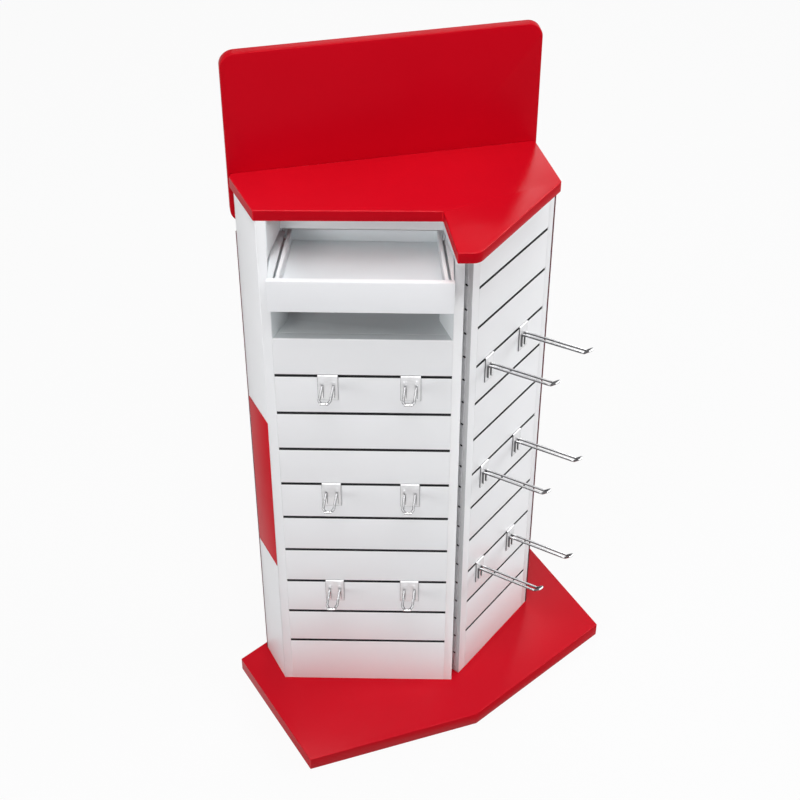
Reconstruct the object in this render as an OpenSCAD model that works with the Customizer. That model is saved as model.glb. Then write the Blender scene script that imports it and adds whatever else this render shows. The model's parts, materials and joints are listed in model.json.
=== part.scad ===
// Two-sided counter display rack: a slat-wall front unit with a drawer, a turned slat-wall side unit,
// a shared base plate, a worktop with a nose and a tall backboard. Millimetres, Z up.
// The origin is the centre of the base plate on the floor; the front unit faces -Y.

/* [Base plate] */
// Length of the left front side of the base
base_side_a = 330; // [300:1:360]
// Length of the front side of the base
base_side_b = 392; // [370:1:420]
// Length of the right front side of the base
base_side_c = 392; // [370:1:420]
// Thickness of the base
base_t = 36; // [25:1:50]
// Place of the body's left front corner across the base
body_x = -310; // [-320:1:-300]
// Place of the body's left front corner along the base
body_y = -111; // [-120:1:-100]

/* [Body] */
// Thickness of the cabinet boards
board_t = 18; // [16:1:19]
// Width of the front unit
front_w = 381; // [370:1:400]
// Length of the slanted left side panel
left_side_l = 98; // [90:1:110]
// Angle of the left side panel from the front
left_side_turn = 118; // [112:1:122]
// Sideways width of the V between the two units
vee_w = 16.5; // [12:0.5:20]
// Set-back of the side unit's near corner
vee_set = 19.6; // [15:0.1:24]
// Angle of the side unit from the front
side_turn = 53.7; // [50:0.1:57]
// Width of the side unit
side_w = 270; // [262:1:276]
// Depth of the body at its rear housing
house_y = 190; // [184:1:198]
// Place of the rear housing's left corner across the front unit
house_in = 30; // [20:1:40]
// Set-in of the rear housing's right corner from the front unit's right side
house_in_right = 51; // [45:1:60]
// Height of the body on the front unit's side
body_h = 1310; // [1180:5:1450]
// How far below the body's top the rear sheets end and the backboard begins
rear_drop = 90; // [84:1:92]
// Thickness of the rear sheets
sheet_t = 2; // [2:0.5:5]
// How far a rear sheet laps past the corner that it covers
sheet_lap = 0.5; // [0:0.5:5]
// Depth of the outer stile and of the rail's brackets
stile_d = 60; // [50:1:70]
// Width of the side unit's near post on its face
post_w = 23; // [20:1:30]
// Width of the side unit's far stile on its face
far_w = 16; // [14:1:18]

/* [Slat wall] */
// Groove spacing
slat_pitch = 100; // [90:5:100]
// Height of the slot that holds a groove liner
mouth_h = 8; // [8:0.5:10]
// Depth of the board's lip in front of the liner
lip_d = 2; // [1:0.5:2.5]
// Depth of the mouth behind the face
mouth_d = 5; // [4:0.5:6]
// Height of the chamber behind the mouth
chamber_h = 16; // [15:1:20]
// Depth of the chamber's back behind the face
chamber_d = 11; // [11:0.5:13]
// Wall of the groove liner
liner_t = 1; // [0.8:0.1:1.2]
// Height of the front unit's lowest groove
front_first = 136; // [120:1:145]
// Height of the side unit's lowest groove
side_first = 130; // [110:1:140]
// Least height left above a slat panel's top groove
groove_top = 40; // [30:1:50]

/* [Bay and drawer] */
// Height of the bay above the front slat panel
bay_h = 280; // [265:1:300]
// Width of a jamb at its rail end
jamb_in = 26; // [20:1:30]
// Depth of the jamb's slanted face
jamb_d = 59; // [55:1:65]
// Set-back of the rail behind the front
rail_y = 50; // [45:1:55]
// Height of the rail
rail_h = 54; // [45:1:60]
// How far the drawer stands open at rest
drawer_open = 63; // [40:1:70]
// Height of the drawer front
drawer_front_h = 72; // [66:1:74]
// How far the drawer front's bottom lies below the body's top
drawer_drop = 160; // [155:1:165]
// Clearance under and over the drawer front in the jambs' pocket
pocket_gap = 4; // [3:0.5:6]
// Thickness of the drawer front
drawer_front_t = 11; // [10:0.5:13]
// Gap round the drawer front
front_gap = 1; // [0.5:0.5:2]
// Thickness of the drawer's sides and back
drawer_wall = 7.5; // [6:0.5:9]
// Inner depth of the tray from front to back
tray_d = 151; // [140:1:156]
// Height of the tray's walls above its floor
tray_h = 27; // [20:1:30]
// Thickness of the tray's floor board
tray_floor = 8; // [5:1:10]
// How much each side of the tray leans in towards the back
tray_taper = 15; // [10:1:20]
// Height of the slide members
slide_h = 24; // [18:1:26]
// Thickness of a slide member
slide_t = 2.5; // [2:0.5:3]
// Length of the members fixed to the jambs
slide_l = 160; // [145:5:165]

/* [Worktop] */
// Thickness of the worktop
worktop_t = 24; // [18:1:30]
// Overhang past the left side panel
worktop_lip = 4; // [2:1:6]
// Reach of the nose in front of the front unit
nose_reach = 116; // [100:1:130]
// Width of the nose's blunt front
nose_w = 39; // [30:1:50]
// Rounding of the nose's right corner
nose_r = 22; // [10:1:24]
// Width of the notch's end left of the V
notch_in = 42; // [35:1:50]
// Length of the worktop's right front edge
right_edge = 263; // [255:1:270]
// How far the worktop's back edge ends before the side unit's far corner
back_short = 47; // [43:1:57]
// Reach of the board under the worktop along the side unit
top_reach = 170; // [150:5:175]

/* [Backboard] */
// Rise of the backboard above the body's top
back_rise = 276; // [200:2:400]
// Thickness of the backboard
back_t = 18; // [16:1:22]
// Radius of its corners
back_r = 28; // [15:1:40]
// How far it passes the worktop's left end
back_past = 5; // [3:1:10]
// How far it passes the worktop's right end
back_over = 3; // [2:1:10]

/* [Side band] */
// Bottom of the coloured band on the left side panel
band_z = 380; // [300:5:450]
// Height of the band
band_h = 423; // [300:1:480]
// Thickness of the band
band_t = 1; // [0.6:0.2:2]
// Margin between the band and the panel's edges
band_margin = 3; // [2:1:8]

/* [Hooks] */
// Plate width of a front hook
front_plate_w = 40; // [34:1:46]
// Plate width of a side hook
side_plate_w = 28; // [26:1:36]
// Plate height under the groove
plate_h = 62; // [50:1:70]
// Plate thickness
plate_t = 2; // [1.5:0.5:2.5]
// Wire diameter of a front hook
front_wire = 5.5; // [4:0.5:6]
// Wire diameter of a side hook
side_wire = 5; // [4:0.5:6]
// Distance between the two wires of a front hook
front_gauge = 22; // [16:1:26]
// Distance between the two wires of a side hook
side_gauge = 10; // [9:0.5:14]
// Straight reach of a front hook
front_reach = 64; // [50:1:120]
// Straight reach of a side hook
side_reach = 145; // [100:1:160]
// Rise of the prongs from level
prong_rise = 11; // [5:1:15]
// How far below the groove's middle the front hooks' prongs leave the plate
front_root = 28; // [20:1:35]
// How far below the groove's middle the side hooks' prongs leave the plate
side_root = 22; // [18:1:35]
// Turned-up tip length
tip_l = 20; // [12:1:26]
// Place of the first front hook along the front unit
front_hook_a = 121; // [110:1:130]
// Place of the second front hook
front_hook_b = 283; // [270:1:290]
// Place of the first side hook along the side unit
side_hook_a = 66; // [60:1:80]
// Place of the second side hook
side_hook_b = 184; // [170:1:200]

/* [Post holes] */
// Radius of the accessory holes in the near post
hole_r = 2.75; // [2:0.25:3.5]
// Depth of the accessory holes
hole_d = 12; // [8:1:14]
// Spacing of the holes
hole_pitch = 60; // [50:5:80]
// Height of the lowest hole
hole_first = 66; // [50:1:80]
// Width of the perforated steel strip
strip_w = 9; // [8:0.5:11]
// Thickness of the perforated strip
strip_t = 1; // [0.8:0.1:1.5]

/* [Hidden] */
$fn = 48;
white = [0.88, 0.88, 0.9];
red = [0.8, 0.06, 0.12];
steel = [0.75, 0.76, 0.78];

// Clearances
seat_gap = 0.3;   // between a hook and its groove, and between the two members of a slide
back_gap = 0.2;   // between the worktop's back edge and the backboard
stop_gap = 1.5;   // between the closed drawer front and what stands behind it
weld = 0.8;       // how far a hook's wire sinks into its plate
screw_gap = 0.2;  // round a screw in its hole

// A point at distance d from p in the direction a, and the point where two such lines meet
function along(p, a, d) = p + d * [cos(a), sin(a)];
function cross2(a, b) = a[0] * b[1] - a[1] * b[0];
function meet(p, a, q, b) = let (u = [cos(a), sin(a)], v = [cos(b), sin(b)])
    p + u * (cross2(q - p, v) / cross2(u, v));
function bearing(p, q) = atan2(q[1] - p[1], q[0] - p[0]);
// A line given by two points, moved d to its left, and where two such lines meet
function shifted_meet(p, q, r, d) = let (a = bearing(p, q), b = bearing(q, r))
    meet(along(p, a + 90, d), a, along(q, b + 90, d), b);

// Levels
rear_h = body_h - rear_drop;
slat_h = body_h - bay_h;
front_grooves = floor((slat_h - front_first - groove_top) / slat_pitch) + 1;
side_grooves = floor((rear_h - side_first - groove_top) / slat_pitch) + 1;

// Base plate: a hexagon whose opposite sides are equal and parallel
base_turns = [-58, 19.7, 42.8];
base_steps = [for (i = [0:2]) [base_side_a, base_side_b, base_side_c][i]
    * [cos(base_turns[i]), sin(base_turns[i])]];
base_left = -(base_steps[0] + base_steps[1] + base_steps[2]) / 2;
base_front = base_left + base_steps[0];
base_nose = base_front + base_steps[1];
base_outline = [base_left, base_front, base_nose, -base_left, -base_front, -base_nose];

// Corners of the body in plan, measured from its left front corner
left_front = [0, 0];
left_back = along(left_front, left_side_turn, left_side_l);
vee_left = [front_w, 0];
near = [front_w + vee_w, vee_set];
vee_in = meet(near, side_turn + 90, vee_left, 90);
right_end = along(near, side_turn, side_w);
house_left = [house_in, house_y];
house_right = [front_w - house_in_right, house_y];
rear_turn_left = bearing(left_back, house_left);
rear_turn_right = bearing(house_right, right_end);

// The side panel's inner corners, and where the divider meets the rear
side_inner = along(left_front, left_side_turn - 90, board_t);
side_in_back = meet(side_inner, left_side_turn, left_back, rear_turn_left);
side_in_front = meet(side_inner, left_side_turn, left_front, 90);
divider_in = front_w - board_t;
divider_back_in = meet([divider_in, 0], 90, house_right, rear_turn_right);
divider_back_out = meet([front_w, 0], 90, house_right, rear_turn_right);

// The side unit's inner corners
post_end = along(near, side_turn, post_w);
post_back = meet(post_end, side_turn + 90, vee_left, 90);
far_start = along(near, side_turn, side_w - far_w);
far_back = meet(far_start, side_turn + 90, right_end, rear_turn_right);
slat_back = meet(along(near, side_turn + 90, board_t), side_turn, right_end, rear_turn_right);
post_slat = along(post_end, side_turn + 90, board_t);

// Worktop and backboard
back_left = left_back + [-6.7, 25];
back_turn = bearing(back_left, right_end + [0, seat_gap]);
back_edge = norm(right_end - back_left) - back_short;
back_w = back_past + back_edge + back_over;
notch_end = front_w - notch_in;
nose_slant = 25.5;         // how far the nose's left edge runs to the right over its reach
worktop_front = [[-worktop_lip, 0], [notch_end, 4], [notch_end + nose_slant, -nose_reach],
    [notch_end + nose_slant + nose_w, -nose_reach + 1]];
worktop_right = along(worktop_front[3], side_turn + 1, right_edge);
worktop_back = along(back_left, back_turn, back_edge);
worktop_z = body_h;
back_h = back_rise + rear_drop;
back_start = along(back_left, back_turn, -back_past);

// Pocket and drawer
jamb_gap = 1.5;            // jamb wood left beside the pocket
drawer_z = body_h - drawer_drop;
pocket_z = drawer_z - pocket_gap;
pocket_top = drawer_z + drawer_front_h + pocket_gap;
pocket_in = board_t + jamb_gap;
jamb_end = jamb_d + 25;
drawer_y = -drawer_open;
drawer_in_y = drawer_y + drawer_front_t;
front_left = board_t + front_gap;
front_right = front_w - board_t - front_gap;
slide_in = pocket_in + slide_t + seat_gap;
rail_web = slide_in + slide_t;          // inner side of the left moving slide member
rail_in = 30;                           // inner side of the drawer's outer rail
tray_gap = 4.5;                         // open gap between each outer rail and the tray's wall
tray_left = rail_in + tray_gap;
floor_right = front_w - rail_web;
tray_right = floor_right - tray_gap;
cap_t = 3;                              // thickness of the rails' caps
cap_l = tray_d - 6;
cap_lean = tray_taper * cap_l / tray_d; // the caps' inner edges run along the tray's leaning walls
floor_z = drawer_z + 32;
tray_z = floor_z + tray_floor;
slide_z = floor_z - 14;
slide_y = drawer_front_t + stop_gap;

// Side cap and riser under the worktop
cap_top = rear_h + board_t;
cover_t = 12;
filler_in = 11;            // how far the back filler stands in from the side panel's outer corner
riser_in = 25;
riser_set = 20;            // how far the riser stands back from the top board's end and from the rear
riser_top = body_h - board_t;
right_inner = near + [6, riser_in];

// Screws
screw_r = 3;
screw_head_r = 6;
screw_head_h = 4;
base_bore = 14;    // how far a base screw goes into the bottom board
base_screw_spots = [[40, 45], [front_w / 2, 45], [front_w - 40, 45], [60, 160], [front_w / 2, 165],
    [front_w - 50, 160], [front_w + 50, 110], [front_w + 100, 190]];
back_screw_spots = [for (i = [0:4]) 60 + i * (back_w - 2 * 60) / 4];
back_screw_in = 40;
back_screw_z = worktop_z + worktop_t / 2;
small_r = 1.75;
small_head_r = 4;
small_head_h = 2.2;
small_rows = [60, 420, 780, rear_h - 40];
small_margin = 15;

module placed() translate([body_x, body_y, base_t]) children();
module on_side() translate([near[0], near[1], 0]) rotate([0, 0, side_turn]) children();
module on_back() translate([back_start[0], back_start[1], 0]) rotate([0, 0, back_turn]) children();
module plate(points, z0, z1) translate([0, 0, z0]) linear_extrude(height = z1 - z0) polygon(points);
module block(x0, x1, y0, y1, z0, z1) translate([x0, y0, z0]) cube([x1 - x0, y1 - y0, z1 - z0]);

// Base

module base_plate() color(red) difference() {
    linear_extrude(height = base_t) polygon(base_outline);
    for (p = base_screw_spots) translate([body_x + p[0], body_y + p[1], -1]) {
        cylinder(r = screw_r + screw_gap, h = base_t + 2);
        cylinder(r = screw_head_r + 2 * screw_gap, h = screw_head_h + 2);
    }
}

module base_screws() color(steel) for (p = base_screw_spots) translate([body_x + p[0], body_y + p[1], 1]) {
    cylinder(r = screw_head_r, h = screw_head_h);
    cylinder(r = screw_r, h = base_t - 1 + base_bore - 1);
}

module screw_bores() for (p = base_screw_spots) translate([p[0], p[1], -1])
    cylinder(r = screw_r + screw_gap, h = base_bore + 1);

// Plan of a level board inside the front unit
front_board = [[board_t, board_t], [divider_in, board_t], divider_back_in, house_right, house_left,
    side_in_back, side_in_front, [0, stile_d], [board_t, stile_d]];

module bottom_board_front() color(white) placed() difference() {
    plate(front_board, 0, board_t);
    screw_bores();
}

module bottom_board_side() color(white) placed() difference() {
    plate([post_back, post_end, post_slat, slat_back, divider_back_out], 0, board_t);
    screw_bores();
}

module bay_shelf() color(white) placed() plate(front_board, slat_h - board_t, slat_h);

// Uprights of the front unit
// A small chamfer on the side panel's front edge leaves the fine line beside the stile.
line_w = 1;
module side_panel_left() color(white) placed() plate([[0, 2 * line_w],
    along(left_front, left_side_turn, 2 * line_w), left_back, side_in_back, side_in_front], 0, body_h);

module side_band() color(red) placed() {
    a = along(left_front, left_side_turn, band_margin);
    b = along(left_front, left_side_turn, left_side_l - band_margin);
    plate([a, along(a, left_side_turn + 90, band_t), along(b, left_side_turn + 90, band_t), b],
        band_z, band_z + band_h);
}

module outer_stile() color(white) placed() block(0, board_t, 0, stile_d, 0, body_h);

module divider_panel() color(white) placed()
    plate([[divider_in, 0], vee_left, divider_back_out, divider_back_in], 0, riser_top);

// Slat panels: x runs along the face and y into the board
module groove_cut(length) {
    block(-1, length + 1, -1, lip_d + 1, liner_t - mouth_h / 2, mouth_h / 2 - liner_t);
    block(-1, length + 1, lip_d, mouth_d + 1, -mouth_h / 2, mouth_h / 2);
    block(-1, length + 1, mouth_d, chamber_d, -mouth_h / 2, chamber_h - mouth_h / 2);
}

module liner(length) difference() {
    union() {
        block(0, length, lip_d, mouth_d, -mouth_h / 2, mouth_h / 2);
        block(0, length, mouth_d, chamber_d, -mouth_h / 2, chamber_h - mouth_h / 2);
    }
    block(-1, length + 1, -1, mouth_d + liner_t, liner_t - mouth_h / 2, mouth_h / 2 - liner_t);
    block(-1, length + 1, mouth_d + liner_t, chamber_d - liner_t, liner_t - mouth_h / 2,
        chamber_h - mouth_h / 2 - liner_t);
}

module slat_panel_front() color(white) placed() translate([board_t, 0, 0]) difference() {
    block(0, divider_in - board_t, 0, board_t, 0, slat_h);
    for (k = [0:front_grooves - 1]) translate([0, 0, front_first + k * slat_pitch])
        groove_cut(divider_in - board_t);
}

module groove_liners_front() color([0.1, 0.1, 0.12]) placed() translate([board_t, 0, 0])
    for (k = [0:front_grooves - 1]) translate([0, 0, front_first + k * slat_pitch])
        liner(divider_in - board_t);

side_slat_l = side_w - post_w - far_w;
// The far end of the side slat panel is cut back along the rear sheet
module slat_panel_side() color(white) placed() difference() {
    plate([post_end, far_start, far_back, slat_back, post_slat], 0, rear_h);
    on_side() translate([post_w, 0, 0]) for (k = [0:side_grooves - 1])
        translate([0, 0, side_first + k * slat_pitch]) groove_cut(side_slat_l);
}

module groove_liners_side() color([0.1, 0.1, 0.12]) placed() on_side() translate([post_w, 0, 0])
    for (k = [0:side_grooves - 1]) translate([0, 0, side_first + k * slat_pitch]) liner(side_slat_l);

// Jambs of the bay: slanted lining on both sides, with a pocket where the drawer slides. The pocket's top
// rises from the front to the rail's underside.
jamb_plan = [[board_t, 0], [board_t + 1, 0], [board_t + jamb_in, jamb_d], [board_t + jamb_in, jamb_end],
    [board_t, jamb_end]];
module jamb_shape() difference() {
    plate(jamb_plan, slat_h, body_h);
    translate([pocket_in, 0, 0]) rotate([90, 0, 90]) linear_extrude(height = board_t + jamb_in)
        polygon([[-1, pocket_z], [jamb_end + 1, pocket_z], [jamb_end + 1, body_h - rail_h],
            [rail_y, body_h - rail_h], [0, pocket_top], [-1, pocket_top]]);
    block(board_t - 1, board_t + jamb_in + 1, -1, drawer_front_t + stop_gap, pocket_z, pocket_top);
    block(board_t - 1, board_t + jamb_in + 1, rail_y + board_t, jamb_end + 1, riser_top, body_h + 1);
}

module jamb_left() color(white) placed() difference() {
    jamb_shape();
    rail_seat();
}

module jamb_right() color(white) placed() difference() {
    translate([front_w, 0, 0]) mirror([1, 0, 0]) jamb_shape();
    rail_seat();
}

rail_x0 = board_t + jamb_in * rail_y / jamb_d;
module rail_seat() block(rail_x0, front_w - rail_x0, rail_y, rail_y + board_t, body_h - rail_h, body_h);
module bay_rail() color(white) placed() rail_seat();

// Side unit
// The accessory holes run straight back from the front, so that a peg clears the divider.
strip_margin = 2;
strip_low = 20;
strip_high = rear_h - 15;
hole_at = along(vee_in, side_turn - 90, strip_margin + strip_w / 2);
hole_count = floor((strip_high - strip_low - hole_first) / hole_pitch) + 1;
module hole_column(depth, out) for (k = [0:hole_count - 1])
    translate([hole_at[0], hole_at[1] - out, hole_first + k * hole_pitch]) rotate([-90, 0, 0])
        cylinder(r = hole_r, h = depth + out);

module near_post() color(white) placed() difference() {
    plate([near, post_end, post_back, vee_in], 0, rear_h);
    hole_column(hole_d, 5);
}

module perforated_strip() color(steel) placed() difference() {
    translate([vee_in[0], vee_in[1], 0]) rotate([0, 0, side_turn - 90])
        block(strip_margin, strip_margin + strip_w, -strip_t, 0, strip_low, strip_high);
    hole_column(hole_r + strip_t, 5);
}

module far_stile() color(white) placed() plate([far_start, right_end, far_back], 0, rear_h);

side_plan = [vee_in, near, right_end, divider_back_out];
module side_cap() color(white) placed() plate(side_plan, rear_h, cap_top);

module riser_frame() color(white) placed() {
    a = near + [-3, riser_in * 1.6];
    b = along(a, side_turn, top_reach - riser_set);
    back = divider_back_out[1] - riser_set;
    difference() {
        plate([[front_w, a[1]], a, b, meet(b, side_turn + 90, divider_back_out, rear_turn_right)
            - [0, riser_set], [front_w, back]], cap_top, riser_top);
        plate([[front_w + board_t, a[1] + board_t], [a[0] + 5, a[1] + board_t],
            along(b, side_turn + 150, board_t * 1.2), [front_w + board_t, back - board_t]],
            cap_top - 1, riser_top + 1);
    }
}

module top_board() color(white) placed() plate([[0, stile_d], [board_t, stile_d],
    [board_t, rail_y + board_t], [divider_in, rail_y + board_t], [divider_in, 0], vee_left,
    [front_w, right_inner[1]], right_inner, along(right_inner, side_turn, top_reach),
    along(worktop_back, back_turn, -2 * riser_set), along(back_left, back_turn, board_t / 2),
    side_in_back, side_in_front],
    riser_top, body_h);

// Rear housing
module rear_sheet_left() color(red) placed() {
    start = along(left_back, rear_turn_left, -sheet_lap);
    out = shifted_meet(left_back, house_left, house_right, sheet_t);
    plate([start, house_left, out, along(start, rear_turn_left + 90, sheet_t)], 0, rear_h);
}

module rear_sheet_middle() color(red) placed() plate([house_left, house_right,
    shifted_meet(house_left, house_right, right_end, sheet_t),
    shifted_meet(left_back, house_left, house_right, sheet_t)], 0, rear_h);

module rear_sheet_right() color(red) placed() {
    finish = along(right_end, rear_turn_right, sheet_lap);
    plate([house_right, finish, along(finish, rear_turn_right + 90, sheet_t),
        shifted_meet(house_left, house_right, right_end, sheet_t)], 0, rear_h);
}

// Closes the housing behind the backboard
module rear_cover() color(red) placed() {
    plane = along(back_left, back_turn + 90, back_t);
    plate([meet(plane, back_turn, left_back, rear_turn_left), meet(plane, back_turn, house_left, 0),
        house_left], rear_h, rear_h + cover_t);
}

// Closes the wedge between the side panel's back edge and the backboard
module back_filler() color(white) placed() {
    start = along(left_back, rear_turn_left, filler_in);
    plate([start, side_in_back, meet(side_in_back, left_side_turn, back_left, back_turn),
        meet(start, left_side_turn, back_left, back_turn)], rear_h, riser_top);
}

// Screw heads on the rear sheets, each on a short shank that fills its hole
module rear_screws() color(steel) placed() {
    for (z = small_rows) {
        sheet_screw(house_left, house_right, small_margin, z);
        sheet_screw(house_left, house_right, norm(house_right - house_left) - small_margin, z);
    }
}
module sheet_screw(p, q, d, z) translate([along(p, bearing(p, q), d)[0], along(p, bearing(p, q), d)[1], z])
    rotate([0, 0, bearing(p, q)]) translate([0, sheet_t, 0]) rotate([-90, 0, 0])
        cylinder(r = small_head_r, h = small_head_h);

// Worktop and backboard
module worktop() color(red) placed() difference() {
    plate(concat([worktop_front[0], worktop_front[1], worktop_front[2]],
        round_corner(worktop_front[2], worktop_front[3], worktop_right, nose_r),
        [worktop_right, along(worktop_back, back_turn - 90, back_gap),
        along(back_left, back_turn - 90, back_gap), along([-worktop_lip, 0], left_side_turn - 1.5, 113)]),
        worktop_z, worktop_z + worktop_t);
    on_back() for (x = back_screw_spots) translate([x, 1, back_screw_z]) rotate([90, 0, 0])
        cylinder(r = screw_r - 0.5 + screw_gap, h = back_screw_in + 2);
}

// Points that round the corner q between p and r
function round_corner(p, q, r, rad) = let (a = bearing(q, p), b = bearing(q, r),
    half = ((a - b + 360) % 360) / 2, tangent = rad / tan(half), s = along(q, a, tangent),
    centre = along(s, a - 90, rad), start = bearing(centre, s), turn = 180 - 2 * half)
    [for (i = [0:8]) along(centre, start + turn * i / 8, rad)];

module backboard() color(red) placed() on_back() difference() {
    translate([0, back_t, rear_h]) rotate([90, 0, 0]) linear_extrude(height = back_t)
        translate([back_r, back_r]) offset_square(back_w - 2 * back_r, back_h - 2 * back_r, back_r);
    for (x = back_screw_spots) translate([x, -1, back_screw_z]) rotate([-90, 0, 0])
        cylinder(r = screw_r + screw_gap, h = back_t + 2);
}
module offset_square(w, h, r) union() {
    translate([-r, 0]) square([w + 2 * r, h]);
    translate([0, -r]) square([w, h + 2 * r]);
    for (x = [0, w], y = [0, h]) translate([x, y]) circle(r = r);
}

module backboard_screws() color(steel) placed() on_back() for (x = back_screw_spots)
    translate([x, back_t, back_screw_z]) rotate([90, 0, 0]) {
        cylinder(r = screw_r, h = back_t);
        cylinder(r = screw_r - 0.5, h = back_t + back_screw_in);
        translate([0, 0, -3]) cylinder(r = screw_head_r, h = 3);
    }

// Slides and drawer
module slide_fixed_left() color(steel) placed()
    block(pocket_in, pocket_in + slide_t, slide_y, slide_y + slide_l, slide_z - 2, slide_z + slide_h + 2);
module slide_fixed_right() color(steel) placed() block(front_w - pocket_in - slide_t, front_w - pocket_in,
    slide_y, slide_y + slide_l, slide_z - 2, slide_z + slide_h + 2);
module slide_moving_left() color(steel) placed()
    block(slide_in, rail_web, drawer_in_y, drawer_in_y + tray_d - 6, slide_z, slide_z + slide_h);
module slide_moving_right() color(steel) placed() block(front_w - rail_web, front_w - slide_in,
    drawer_in_y, drawer_in_y + tray_d - 6, slide_z, slide_z + slide_h);

module drawer_front() color(white) placed() block(front_left, front_right, drawer_y, drawer_in_y,
    drawer_z, drawer_z + drawer_front_h);

module drawer_floor() color(white) placed() block(rail_in, floor_right, drawer_in_y,
    drawer_in_y + tray_d + drawer_wall, floor_z, tray_z);

tray_back_y = drawer_in_y + tray_d;
module drawer_side_left() color(white) placed() plate([[tray_left, drawer_in_y],
    [tray_left + drawer_wall, drawer_in_y], [tray_left + drawer_wall + tray_taper, tray_back_y],
    [tray_left + tray_taper, tray_back_y]], tray_z, tray_z + tray_h);
module drawer_side_right() color(white) placed() plate([[tray_right, drawer_in_y],
    [tray_right - tray_taper, tray_back_y], [tray_right - drawer_wall - tray_taper, tray_back_y],
    [tray_right - drawer_wall, drawer_in_y]], tray_z, tray_z + tray_h);
module drawer_back() color(white) placed() block(tray_left + tray_taper, tray_right - tray_taper,
    tray_back_y, tray_back_y + drawer_wall, tray_z, tray_z + tray_h);
// Outer rails beside the tray, each with a cap that widens towards the back along the tray's leaning wall
module rail_cap(outer, inner) plate([[outer, drawer_in_y], [inner, drawer_in_y], [inner + cap_lean,
    drawer_in_y + cap_l], [outer, drawer_in_y + cap_l]], tray_z + tray_h - cap_t, tray_z + tray_h);
module drawer_rail_left() color(white) placed() {
    block(rail_web, rail_in, drawer_in_y, drawer_in_y + cap_l, slide_z, tray_z + tray_h);
    rail_cap(slide_in - 1.8, rail_in);
}
module drawer_rail_right() color(white) placed() translate([front_w, 0, 0]) mirror([1, 0, 0]) {
    block(slide_in, rail_web, drawer_in_y, drawer_in_y + cap_l, slide_z + slide_h, tray_z + tray_h);
    rail_cap(slide_in - 1.8, rail_web);
}

// Hooks: x along the face, y into the board, z from the middle of the groove
module rod(p, q, r) {
    d = q - p;
    translate(p) rotate([0, acos(d[2] / norm(d)), atan2(d[1], d[0])]) cylinder(r = r, h = norm(d));
}
module knee(p, r) translate(p) rotate([0, 60, 0]) sphere(r = r + 0.15);

module hook(plate_w, wire, gauge, reach, root) color(steel) {
    low = liner_t - mouth_h / 2 + seat_gap;
    lip_y = mouth_d + liner_t + 1;
    r = wire / 2;
    wire_y = -seat_gap - plate_t - r + weld;
    root_z = -root;
    root_low = -plate_h * 0.85;
    out = wire_y - reach;
    end_z = root_z + reach * tan(prong_rise);
    block(-plate_w / 2, plate_w / 2, -seat_gap - plate_t, -seat_gap, -plate_h, low + plate_t);
    block(-plate_w / 2, plate_w / 2, -seat_gap - 0.5, lip_y + plate_t, low, low + plate_t);
    block(-plate_w / 2, plate_w / 2, lip_y, lip_y + plate_t, low, chamber_h - mouth_h / 2 - liner_t - 2);
    // The wire runs up the plate, out along one prong, round the turned-up tip and back along the other
    tip = tip_l * [0, -cos(45), sin(45)];
    corner = min(gauge / 4, 5);
    end = [0, out, end_z];
    side = [gauge / 2, 0, 0];
    half = [[0, wire_y, root_low] + side, [0, wire_y, root_z] + side, end + side,
        end + tip * (1 - corner / tip_l) + side, end + tip + side - [corner, 0, 0]];
    wire_run = concat(half, [for (i = [4:-1:0]) [-half[i][0], half[i][1], half[i][2]]]);
    for (i = [0:8]) rod(wire_run[i], wire_run[i + 1], r);
    for (i = [1:8]) knee(wire_run[i], r);
}

// Grooves that hold hooks, counted from the lowest
hook_rows = [for (k = [1, 4, 7]) front_grooves - k];
module front_hook(i) placed() translate([[front_hook_a, front_hook_b][i % 2], 0,
    front_first + hook_rows[floor(i / 2)] * slat_pitch])
    hook(front_plate_w, front_wire, front_gauge, front_reach, front_root);
module side_hook(i) placed() on_side() translate([[side_hook_a, side_hook_b][i % 2], 0,
    side_first + hook_rows[floor(i / 2)] * slat_pitch])
    hook(side_plate_w, side_wire, side_gauge, side_reach, side_root);

module hook_front_1() front_hook(0);
module hook_front_2() front_hook(1);
module hook_front_3() front_hook(2);
module hook_front_4() front_hook(3);
module hook_front_5() front_hook(4);
module hook_front_6() front_hook(5);
module hook_side_1() side_hook(0);
module hook_side_2() side_hook(1);
module hook_side_3() side_hook(2);
module hook_side_4() side_hook(3);
module hook_side_5() side_hook(4);
module hook_side_6() side_hook(5);

base_plate();
base_screws();
bottom_board_front();
bottom_board_side();
side_panel_left();
side_band();
outer_stile();
divider_panel();
slat_panel_front();
groove_liners_front();
bay_shelf();
jamb_left();
jamb_right();
bay_rail();
near_post();
perforated_strip();
slat_panel_side();
groove_liners_side();
far_stile();
side_cap();
riser_frame();
top_board();
rear_sheet_left();
rear_sheet_middle();
rear_sheet_right();
rear_cover();
back_filler();
rear_screws();
worktop();
backboard();
backboard_screws();
slide_fixed_left();
slide_fixed_right();
drawer_front();
drawer_side_left();
drawer_side_right();
drawer_back();
drawer_floor();
drawer_rail_left();
drawer_rail_right();
slide_moving_left();
slide_moving_right();
hook_front_1();
hook_front_2();
hook_front_3();
hook_front_4();
hook_front_5();
hook_front_6();
hook_side_1();
hook_side_2();
hook_side_3();
hook_side_4();
hook_side_5();
hook_side_6();
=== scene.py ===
import json
import math
import bmesh
import bpy
from mathutils import Matrix, Vector


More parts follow.
